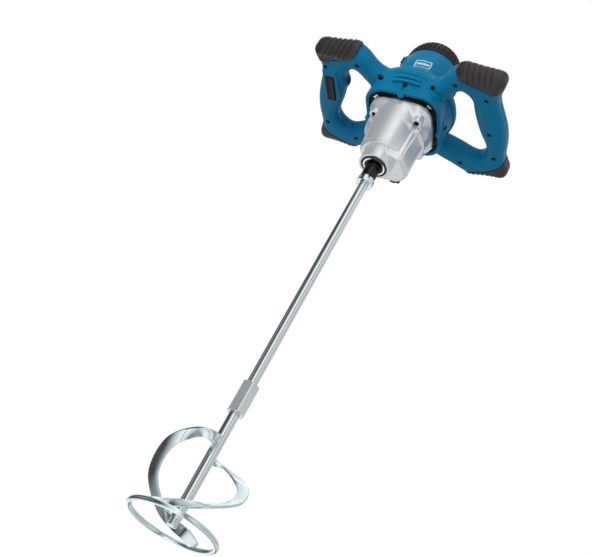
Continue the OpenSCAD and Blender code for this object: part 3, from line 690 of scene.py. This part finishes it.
def build_gear_case():
    g = Field((-56, -40, -3), (56, 72, 114), FINE)
    neck = g.rod(2, (0, 0), 24, 0, 40, 0.8)
    barrel = g.turned([(0, 22.5), (28.5, 22.5), (32, 26), (35, 108), (0, 108)], 0, 0, 0.7)
    d = join(neck, barrel, 1.5)
    section = [
        (18, -21), (35.2, -14.6), (39.2, -10.4), (44.6, 8), (45, 16),
        (22, 39), (8, 40), (-14, 34), (-24, 16), (-10, -20),
    ]
    lobe_flat = join(g.radius(22, 16) - 23.2, g.flat(section) + 0.8)
    lobe_flat = join(lobe_flat, g.radius(4, 14) - 24.2)
    taper = np.maximum(20 - g.Z, 0) * 0.35
    lobe = g.slab(lobe_flat + taper, 13, 92, 1.6)
    d = join(d, lobe, 1.6)
    flange = g.turned([(0, 66), (41, 68.5), (47.4, 77), (48.6, 111.2), (0, 111.2)], 0, MOTOR_Y, 0.8)
    d = join(d, flange, 3.0)
    square = collar_flat(g, 49.2, 26) + 0.55 * np.maximum(105 - g.Z, 0)
    d = join(d, g.slab(square, 87.5, 111.2, 1.6), 2.5)
    lo, hi = node_mm("case_screws")
    half_x, half_y = (hi[0] - lo[0]) / 2 - 3.7, (hi[1] - lo[1]) / 2 - 3.7
    mid = (lo + hi) / 2
    spots = [(mid[0] + i * half_x, mid[1] + j * half_y) for i in (-1, 1) for j in (-1, 1)]
    for x, y in spots:
        d = join(d, g.rod(2, (x, y), 7.9, 85.5, 110, 1.0), 1.4)
    # webs that run from the two front bosses down the barrel
    webs = [
        ((37.6, -12.0, 30), (41.6, -10.8, 86), 1.2),
        ((-25, -21.5, 30), (-30.5, -18.5, 92), 1.6),
    ]
    for low, high, thick in webs:
        d = join(d, g.capsule(low, high, thick), 1.2)
    # bores and hollow
    d = cut(d, g.rod(2, (0, 0), 20.2, -5, 15), 0.8)
    d = np.maximum(d, -g.rod(2, (0, 0), 15, 0, 40))
    d = np.maximum(d, -g.rod(2, (0, 0), 28, 28.5, 120))
    d = np.maximum(d, -g.rod(2, (0, MOTOR_Y), 40, 80, 120))
    lay = [float(v) for v in ((node_mm("lay_shaft")[0] + node_mm("lay_shaft")[1]) / 2)[:2]]
    d = np.maximum(d, -g.rod(2, lay, 20.2, 72, 120))
    d = np.maximum(d, -g.rod(2, lay, 10.8, 36, 80))
    for x, y in spots:
        d = cut(d, g.rod(2, (x, y), 3.9, 70, 120), 0.8)
    place(g.mesh("gear_case_cast", d, ALUMINIUM), "machine", "cast_aluminium", "gear_case")


build_gear_case()


def build_housing():
    g = Field((-60, -38, 184), (60, 84, 242), FINE)
    wall = [(0, 184), (47.4, 184), (47.4, 208), (45.9, 222), (43.6, 236.4), (0, 236.4)]
    d = g.turned(wall, 0, MOTOR_Y, 0.6)
    d = np.maximum(d, 189.6 - g.Z)
    c, t = math.cos(BRUSH_ANGLE), math.sin(BRUSH_ANGLE)
    u, v = g.X * c + (g.Y - MOTOR_Y) * t, (g.Y - MOTOR_Y) * c - g.X * t
    across = np.hypot(v, g.Z - 223)
    boss = np.maximum(across - 9, np.abs(u) - 48.4)
    d = join(d, boss + np.maximum(30 - np.abs(u), 0), 4.0)
    d = join(d, g.rod(1, (0, 206), 11, MOTOR_Y + 28, MOTOR_Y + 52, 1.5), 4.0)
    # shallow step where the housing meets the cap and the barrel
    d = cut(d, g.turned([(46.9, 193.6), (60, 193.6), (60, 194.4), (46.9, 194.4)], 0, MOTOR_Y), 0.5)
    d = np.maximum(d, -g.rod(2, (0, MOTOR_Y), 40.3, 180, 250))
    d = cut(d, across - 6.2, 0.8)
    d = np.maximum(d, -g.rod(1, (0, 206), 8, MOTOR_Y + 20, 100))
    place(g.mesh("motor_housing_shell", d, BLUE), "machine", "blue_shell", "motor_housing")


build_housing()


def build_cap():
    """Dark cap with a ring of cooling ribs round its front edge."""
    profile = [
        (41.4, 242), (41.4, 237.15), (44.2, 237.15), (45, 238.2), (45.2, 240.2), (45.2, 242),
        (44.9, 246), (44.1, 250.8), (42.8, 255), (40.8, 260), (38.2, 264.6), (34.2, 269),
        (29, 272.4), (22, 274.9), (13, 276.4), (5, 276.95), (0, 277),
    ]
    out = []
    for a, b in zip(profile, profile[1:]):
        for k in range(4):
            t = k / 4
            out.append((a[0] + (b[0] - a[0]) * t, a[1] + (b[1] - a[1]) * t))
    out.append(profile[-1])
    ribs, per = 36, 12
    turns = ribs * per
    verts, faces = [], []
    for r, z in out[:-1]:
        depth = 2.6 * min(max((z - 241.0) / 2.5, 0), 1) * min(max((265 - z) / 5, 0), 1)
        for i in range(turns):
            phase = (i % per) / per
            slot = min(max((0.30 - abs(phase - 0.5)) / 0.09, 0), 1)
            slot = slot * slot * (3 - 2 * slot)
            rr = r - (depth * slot if r > 30 and z > 238 else 0)
            a = 2 * math.pi * i / turns
            verts.append((rr * math.cos(a), MOTOR_Y + rr * math.sin(a), z))
    tip = len(verts)
    verts.append((0, MOTOR_Y, out[-1][1]))
    rows = len(out) - 1
    for j in range(rows - 1):
        for i in range(turns):
            k = (i + 1) % turns
            faces.append((j * turns + i, j * turns + k, (j + 1) * turns + k, (j + 1) * turns + i))
    for i in range(turns):
        faces.append(((rows - 1) * turns + i, (rows - 1) * turns + (i + 1) % turns, tip))
    obj = add_mesh("end_cap_ribbed", verts, faces, BLACK)
    mark_sharp(obj, 50)
    wall = obj.modifiers.new("wall", "SOLIDIFY")
    wall.thickness = 2.0 * MM
    wall.offset = -1
    place(obj, "machine", "black_plastic", "end_cap")


build_cap()


# --------------------------------------------------------------------- paddle

# Centre of the blade above the ring, and the way to its inner edge.
# Thinned from a path that a script fitted to the photograph.
BLADE_KEYS = [
    ((-3, -7, 108), (-0.1, 0.1, -1)),
    ((4, -21, 108), (-0.6, 0.2, -0.8)),
    ((-16, -28, 106), (0.1, 0.9, -0.3)),
    ((-48, -16, 86), (0.8, 0.4, -0.5)),
    ((-60, 12, 53), (1, -0.2, 0)),
    ((-41, 37, 26), (0.6, -0.6, 0.4)),
    ((-14, 43, 14), (0.3, -0.5, 0.8)),
    ((1, 42, 9), (0.4, -0.5, 0.8)),
    ((15, 51, 3), (0.7, -0.6, 0.4)),
]


def through(a, b, c, d, t):
    """A smooth curve through b and c, led by a and d."""
    return b + t * (c - a) / 2 + t * t * (a - 2.5 * b + 2 * c - d / 2) + t**3 * (3 * (b - c) + d - a) / 2


def along_blade(place_on, part):
    keys = [np.array(k[part], float) for k in BLADE_KEYS]
    last = len(keys) - 1
    i = min(int(place_on), last - 1)
    return through(keys[max(i - 1, 0)], keys[i], keys[i + 1], keys[min(i + 2, last)], place_on - i)


def build_blade(name, node, lift, turn):
    """A flat bar swept along its keys, with eased corners."""
    steps = 16 * (len(BLADE_KEYS) - 1)
    section = []
    half_w, half_t, r = 7.0, 1.6, 0.7
    for cx, cy, start in ((1, 1, 0), (-1, 1, 90), (-1, -1, 180), (1, -1, 270)):
        for k in range(4):
            a = math.radians(start + 30 * k)
            section.append((cx * (half_w - r) + r * math.cos(a), cy * (half_t - r) + r * math.sin(a)))
    verts, faces = [], []
    n = len(section)
    for j in range(steps + 1):
        s = j / steps * (len(BLADE_KEYS) - 1)
        c = along_blade(s, 0)
        ahead = along_blade(min(s + 0.02, len(BLADE_KEYS) - 1), 0) - along_blade(max(s - 0.02, 0), 0)
        w = along_blade(s, 1)
        for v in (c, ahead, w):
            v[2] *= lift
        ahead /= np.linalg.norm(ahead)
        w -= ahead * (w @ ahead)
        w /= np.linalg.norm(w)
        t = np.cross(ahead, w)
        for u, v in section:
            p = c + w * u + t * v
            ca, sa = math.cos(turn), math.sin(turn)
            verts.append((p[0] * ca - p[1] * sa, p[0] * sa + p[1] * ca, p[2] + RING_Z))
    for j in range(steps):
        for i in range(n):
            k = (i + 1) % n
            faces.append((j * n + i, j * n + k, (j + 1) * n + k, (j + 1) * n + i))
    faces.append(tuple(reversed(range(n))))
    faces.append(tuple(steps * n + i for i in range(n)))
    obj = add_mesh(name, verts, faces, ZINC)
    mark_sharp(obj, 50)
    place(obj, "spindle_and_paddle", "zinc_plated_steel", node)


build_blade("blade_upper_bar", "blade_upper", 1.0, 0.0)
build_blade("blade_lower_bar", "blade_lower", 0.9, math.pi)


def build_ring():
    big, small = 240, 40
    verts, faces = [], []
    for i in range(big):
        a = 2 * math.pi * i / big
        for k in range(small):
            b = 2 * math.pi * k / small
            r = RING_R + WIRE_R * math.cos(b)
            verts.append((r * math.cos(a), r * math.sin(a), RING_Z + WIRE_R * math.sin(b)))
    for i in range(big):
        for k in range(small):
            j, m = (i + 1) % big, (k + 1) % small
            faces.append((i * small + k, j * small + k, j * small + m, i * small + m))
    obj = add_mesh("ring_wire", verts, faces, ZINC)
    place(obj, "spindle_and_paddle", "zinc_plated_steel", "paddle_ring")


build_ring()


def build_welds():
    """Weld beads where the blades meet the ring and the rod."""
    rng = np.random.default_rng(7)
    spots = []
    for lift, turn in ((1.0, 0.0), (0.9, math.pi)):
        for s in (len(BLADE_KEYS) - 1, 0):
            c, w = along_blade(s, 0), along_blade(s, 1)
            c[2] *= lift
            w /= np.linalg.norm(w)
            ca, sa = math.cos(turn), math.sin(turn)
            for v in (c, w):
                v[0], v[1] = v[0] * ca - v[1] * sa, v[0] * sa + v[1] * ca
            spots.append((c + np.array((0, 0, RING_Z)), w))
    lumps, bead_length = 7, 11
    rows, cols = 8, 12
    for n, (c, w) in enumerate(spots):
        verts, faces = [], []
        for q in range(lumps):
            centre = c + w * (q / (lumps - 1) - 0.5) * bead_length
            base = len(verts)
            size = rng.uniform(1.7, 2.2)
            for i in range(rows + 1):
                th = math.pi * i / rows
                for k in range(cols):
                    ph = 2 * math.pi * k / cols
                    flat = math.sin(th)
                    way = np.array((flat * math.cos(ph), flat * math.sin(ph), math.cos(th)))
                    verts.append(centre + size * way)
            for i in range(rows):
                for k in range(cols):
                    m = (k + 1) % cols
                    low, high = base + i * cols, base + (i + 1) * cols
                    faces.append((low + k, high + k, high + m, low + m))
        obj = add_mesh("weld_bead_%d" % n, verts, faces, ZINC)
        remesh = obj.modifiers.new("fuse", "REMESH")
        remesh.mode = "VOXEL"
        remesh.voxel_size = 0.45 * MM
        remesh.use_smooth_shade = True
        place(obj, "spindle_and_paddle", "zinc_plated_steel")


build_welds()


def build_rods():
    z_low, z_mid = node_mm("paddle_rod")[0][2], node_mm("rod_coupling")
    r = 7.0
    tip = [(0, z_low), (4.2, z_low), (4.2, z_low + 0.6)]
    for k in range(5):
        z = z_low + 1.2 + 2.0 * k
        tip += [(6.6, z - 0.5), (6.6, z + 0.1), (5.7, z + 0.7), (5.7, z + 1.2)]
    tip += [(r, z_low + 12), (r, z_mid[0][2] + 0.2), (0, z_mid[0][2] + 0.2)]
    obj = lathe("paddle_rod_drawn", rounded(tip, 0.3, 2), ZINC_ROD, turns=96)
    place(obj, "spindle_and_paddle", "zinc_plated_steel", "paddle_rod")
    low, high = z_mid[1][2] - 0.2, node_mm("mixing_rod")[1][2]
    obj = lathe(
        "mixing_rod_drawn",
        rounded([(0, low), (r, low), (r, -26.6), (6.0, -26), (6.0, high), (0, high)], 0.4, 2),
        ZINC_ROD,
        turns=96,
    )
    place(obj, "spindle_and_paddle", "zinc_plated_steel", "mixing_rod")


build_rods()


def build_coupling():
    """Hexagon coupling with turned ends: a lathe shape cut down to the six flats."""
    lo, hi = node_mm("rod_coupling")
    flats, corner, half = 11.0, 12.35, (hi[2] - lo[2]) / 2 - 0.1
    middle = (lo[2] + hi[2]) / 2
    rims = [(corner - 1.4 * k / 8 * (half - 21.0), 21.0 + k / 8 * (half - 21.0)) for k in range(9)]
    shape = [(0, -half)] + [(r, -z) for r, z in reversed(rims)] + rims + [(0, half)]
    obj = lathe("rod_coupling_hex", [(r, middle + z) for r, z in shape], ZINC_TURNED, turns=144)
    for vertex in obj.data.vertices:
        at = vertex.co
        side = math.radians(math.degrees(math.atan2(at.y, at.x)) % 60 - 30)
        share = min(flats * MM / math.cos(side) / max(math.hypot(at.x, at.y), 1e-9), 1.0)
        at.x, at.y = at.x * share, at.y * share
    place(obj, "spindle_and_paddle", "zinc_plated_steel", "rod_coupling")


build_coupling()


def bevel(name, width, segments=3, angle=30):
    obj = NODES[name]
    mod = obj.modifiers.new("eased_edges", "BEVEL")
    mod.width = width * MM
    mod.segments = segments
    mod.limit_method = "ANGLE"
    mod.angle_limit = math.radians(angle)
    mod.harden_normals = False


def build_trigger():
    lo, hi = node_mm("trigger")
    g = Field((-137, -38, lo[2] - 3), (-113, 18, hi[2] + 3), 0.6)
    d = g.box((-132, -32.5, lo[2] + 0.2), (-118, 12.5, 139), 2.2)
    crown = g.capsule((-125, -27, lo[2] - 9.2), (-125, 7, lo[2] - 9.2), 10.8)
    d = cut(d, crown, 1.5)
    for y in (-24, -17, -10, -3, 4):
        d = cut(d, g.rod(0, (y, lo[2] - 0.3), 1.1, -129.5, -120.5), 0.5)
    d = join(d, g.box((-134, -35.5, 137.7), (-116, 15.5, hi[2]), 0.6))
    place(g.mesh("trigger_rocker", d, BLACK), "trigger_button", "black_plastic", "trigger")


build_trigger()

# ---------------------------------------------------------------- small parts


def build_lock():
    lo, hi = node_mm("lock_button")
    shank, dish = 4.9, 3.2
    profile = [
        (0, lo[0]), (shank, lo[0]), (shank, hi[0]),
        (dish, hi[0]), (dish - 0.2, hi[0] - 0.9), (0, hi[0] - 0.7),
    ]
    obj = lathe("lock_button_domed", rounded(profile, 0.6, 3), BLACK, turns=48)
    obj.data.transform(Matrix.Rotation(math.radians(90), 4, "Y"))
    obj.data.transform(Matrix.Translation((0, -15 * MM, SPLIT * MM)))
    place(obj, "lock_pin", "black_plastic", "lock_button")


build_lock()


def build_collar_screws():
    socket, head, front, back = 1.1, 2.9, 128.2, 133
    profile = [
        (0, front + 1.3), (socket, front + 1.3), (socket + 0.2, front),
        (head, front), (head, back), (0, back),
    ]
    for n, degrees in enumerate(CLIP_ANGLES):
        at = on_collar(62.4, degrees)
        obj = lathe("collar_screw_%d" % n, rounded(profile, 0.3, 2), BLUED, at, turns=36)
        place(obj, "machine", "blackened_steel")


build_collar_screws()


def build_badge():
    """A plain curved plate with a pale rim and one blank band."""
    lo, hi = node_mm("badge")
    r0 = 48.0
    cols, rows = 60, 34
    verts, faces = [], []
    half = (hi[0] - lo[0]) / 2
    mid = (hi[0] + lo[0]) / 2
    keep = {}
    for j in range(rows + 1):
        for i in range(cols + 1):
            x = mid + half * (2 * i / cols - 1)
            z = lo[2] + (hi[2] - lo[2]) * j / rows
            edge = min(x - lo[0], hi[0] - x, z - lo[2], hi[2] - z)
            band = abs(z - (lo[2] + hi[2]) / 2) < 1.9 and abs(x - mid) < half - 3.2
            rise = 0.75 if edge < 1.3 or band else 0.2
            keep[i, j] = rise > 0.5
            a = math.asin(x / r0)
            r = r0 + rise
            verts.append((r * math.sin(a), MOTOR_Y - r * math.cos(a), z))
    for j in range(rows):
        for i in range(cols):
            a = j * (cols + 1) + i
            faces.append((a, a + 1, a + cols + 2, a + cols + 1))
    obj = add_mesh("badge_plate", verts, faces, LABEL)
    obj.data.materials.append(BLUE)
    cells = [(j, i) for j in range(rows) for i in range(cols)]
    for poly, (j, i) in zip(obj.data.polygons, cells):
        corners = [keep[i, j], keep[i + 1, j], keep[i + 1, j + 1], keep[i, j + 1]]
        poly.material_index = 0 if any(corners) else 1
    wall = obj.modifiers.new("wall", "SOLIDIFY")
    wall.thickness = 0.9 * MM
    wall.offset = -1
    place(obj, "machine", "badge_white", "badge")


build_badge()


def build_plate():
    """Plate and gasket behind the casting, coloured black as painted shade for the shadowed gap there, with
    four bright lugs.
    """
    g = Field((-62, MOTOR_Y - 62, 110), (62, MOTOR_Y + 62, 124), 1.0)
    d = g.rod(2, (0, MOTOR_Y), 51.8, 111.6, 118.5, 0.6)
    gasket = g.slab(collar_flat(g, 54.1, 25.2), 118.6, 121.4, 0.4)
    d = join(d, gasket, 0.5)
    d = np.maximum(d, -g.rod(2, (0, MOTOR_Y), 24, 90, 130))
    # the black plate and gasket are painted shade in the gap behind the casting
    place(g.mesh("gear_plate_painted_shade", d, BLACK), "machine", "black_plastic", "gear_plate")
    for n in range(4):
        a = math.radians(45 + 90 * n)
        g = Field((48, -8, 111), (66, 8, 122), 0.6)
        d = g.box((54, -4.2, 114.4), (61.8, 4.2, 119), 0.7)
        obj = g.mesh("plate_lug_%d" % n, d, BRIGHT)
        obj.data.transform(Matrix.Translation((0, MOTOR_Y * MM, 0)) @ Matrix.Rotation(a, 4, "Z"))
        place(obj, "machine", "cast_aluminium")


build_plate()

bevel("rod_collar", 0.5)
bevel("gear_selector", 0.7)

# ----------------------------------------------------------- camera and stage

CAM_AT = Vector((0.4442, -1.0131, -0.9068))
RIGHT = Vector((0.897, 0.125, 0.424)).normalized()
UP = -Vector((0.264, 0.618, -0.741)).normalized()
AHEAD = Vector((-0.355, 0.776, 0.521)).normalized()

camera = bpy.data.objects.new("camera", bpy.data.cameras.new("camera"))
bpy.context.scene.collection.objects.link(camera)
turn = Matrix((RIGHT, UP, -AHEAD)).transposed()
camera.matrix_world = Matrix.Translation(CAM_AT) @ turn.to_4x4()
camera.data.lens = 59.2
camera.data.sensor_width = 36
camera.data.clip_end = 50
bpy.context.scene.camera = camera


def soft_light(name, right, up, toward, size, watts, aim=Vector((0, 0, -0.2))):
    data = bpy.data.lights.new(name, "AREA")
    data.shape = "RECTANGLE"
    data.size, data.size_y = size
    data.energy = watts
    obj = bpy.data.objects.new(name, data)
    bpy.context.scene.collection.objects.link(obj)
    at = aim + RIGHT * right + UP * up - AHEAD * toward
    obj.matrix_world = Matrix.Translation(at) @ (aim - at).to_track_quat("-Z", "Y").to_matrix().to_4x4()
    obj.visible_glossy = False


soft_light("key", -0.7, 1.5, 1.1, (1.2, 0.8), 21)
soft_light("fill", 1.7, 0.2, 0.9, (0.9, 1.4), 4)
soft_light("back", 0.3, 1.0, -1.8, (1.6, 0.8), 10)


def build_world():
    world = bpy.data.worlds.new("studio")
    bpy.context.scene.world = world
    world.use_nodes = True
    tree = world.node_tree
    tree.nodes.clear()

    def add(kind, **values):
        node = tree.nodes.new(kind)
        for key, value in values.items():
            setattr(node, key, value)
        return node

    path = add("ShaderNodeLightPath")
    coord = add("ShaderNodeTexCoord")
    dot = add("ShaderNodeVectorMath", operation="DOT_PRODUCT")
    tree.links.new(coord.outputs["Generated"], dot.inputs[0])
    dot.inputs[1].default_value = RIGHT * 0.872 - UP * 0.489
    scale = add("ShaderNodeMath", operation="MULTIPLY_ADD")
    tree.links.new(dot.outputs["Value"], scale.inputs[0])
    scale.inputs[1].default_value = 0.5
    scale.inputs[2].default_value = 0.5
    ramp = add("ShaderNodeValToRGB")
    tree.links.new(scale.outputs[0], ramp.inputs["Fac"])
    stops = [
        (0.00, 0.22), (0.06, 0.14), (0.10, 0.05), (0.16, 0.05), (0.24, 0.42), (0.36, 0.76), (0.47, 0.96),
        (0.55, 0.55), (0.61, 0.08), (0.66, 0.42), (0.80, 0.66), (0.92, 0.40), (1.00, 0.50),
    ]
    elements = ramp.color_ramp.elements
    while len(elements) < len(stops):
        elements.new(1.0)
    for element, (position, value) in zip(elements, stops):
        element.position = position
        element.color = (value * 0.96, value, value * 1.015, 1)
    rays = []
    for colour, strength in (((1, 1, 1, 1), 1.0), (None, 1.3), ((0.97, 0.985, 1, 1), 0.54)):
        shade = add("ShaderNodeBackground")
        shade.inputs["Strength"].default_value = strength
        if colour:
            shade.inputs["Color"].default_value = colour
        else:
            tree.links.new(ramp.outputs["Color"], shade.inputs["Color"])
        rays.append(shade)
    glossy = add("ShaderNodeMixShader")
    tree.links.new(path.outputs["Is Glossy Ray"], glossy.inputs[0])
    tree.links.new(rays[2].outputs[0], glossy.inputs[1])
    tree.links.new(rays[1].outputs[0], glossy.inputs[2])
    seen = add("ShaderNodeMixShader")
    tree.links.new(path.outputs["Is Camera Ray"], seen.inputs[0])
    tree.links.new(glossy.outputs[0], seen.inputs[1])
    tree.links.new(rays[0].outputs[0], seen.inputs[2])
    out = add("ShaderNodeOutputWorld")
    tree.links.new(seen.outputs[0], out.inputs["Surface"])


build_world()


def build_floor():
    """A pale floor under the paddle, see-through from below so that it never hides the object."""
    clearance, reach = 0.03, 6
    z = CAD_BOX[0][2] - clearance
    corners = [(-reach, -reach, z), (reach, -reach, z), (reach, reach, z), (-reach, reach, z)]
    mesh = bpy.data.meshes.new("floor")
    mesh.from_pydata(corners, [], [(0, 1, 2, 3)])
    floor = bpy.data.objects.new("floor", mesh)
    floor.visible_glossy = False
    floor.visible_diffuse = False
    bpy.context.scene.collection.objects.link(floor)
    m = Nodes("pale_floor")
    tree = m.tree
    pale = m.mix(m.noise(3, 3), (0.46, 0.46, 0.46), (0.45, 0.45, 0.45))
    m.set(Base_Color=pale, Roughness=0.9, Emission_Color=pale, Emission_Strength=0.9)
    clear = m.add("ShaderNodeBsdfTransparent")
    back = m.add("ShaderNodeNewGeometry").outputs["Backfacing"]
    mix = m.add("ShaderNodeMixShader")
    tree.links.new(back, mix.inputs[0])
    tree.links.new(m.bsdf.outputs[0], mix.inputs[1])
    tree.links.new(clear.outputs[0], mix.inputs[2])
    tree.links.new(mix.outputs[0], tree.nodes["Material Output"].inputs["Surface"])
    mesh.materials.append(m.material)


build_floor()
bpy.context.scene.view_settings.view_transform = "Standard"
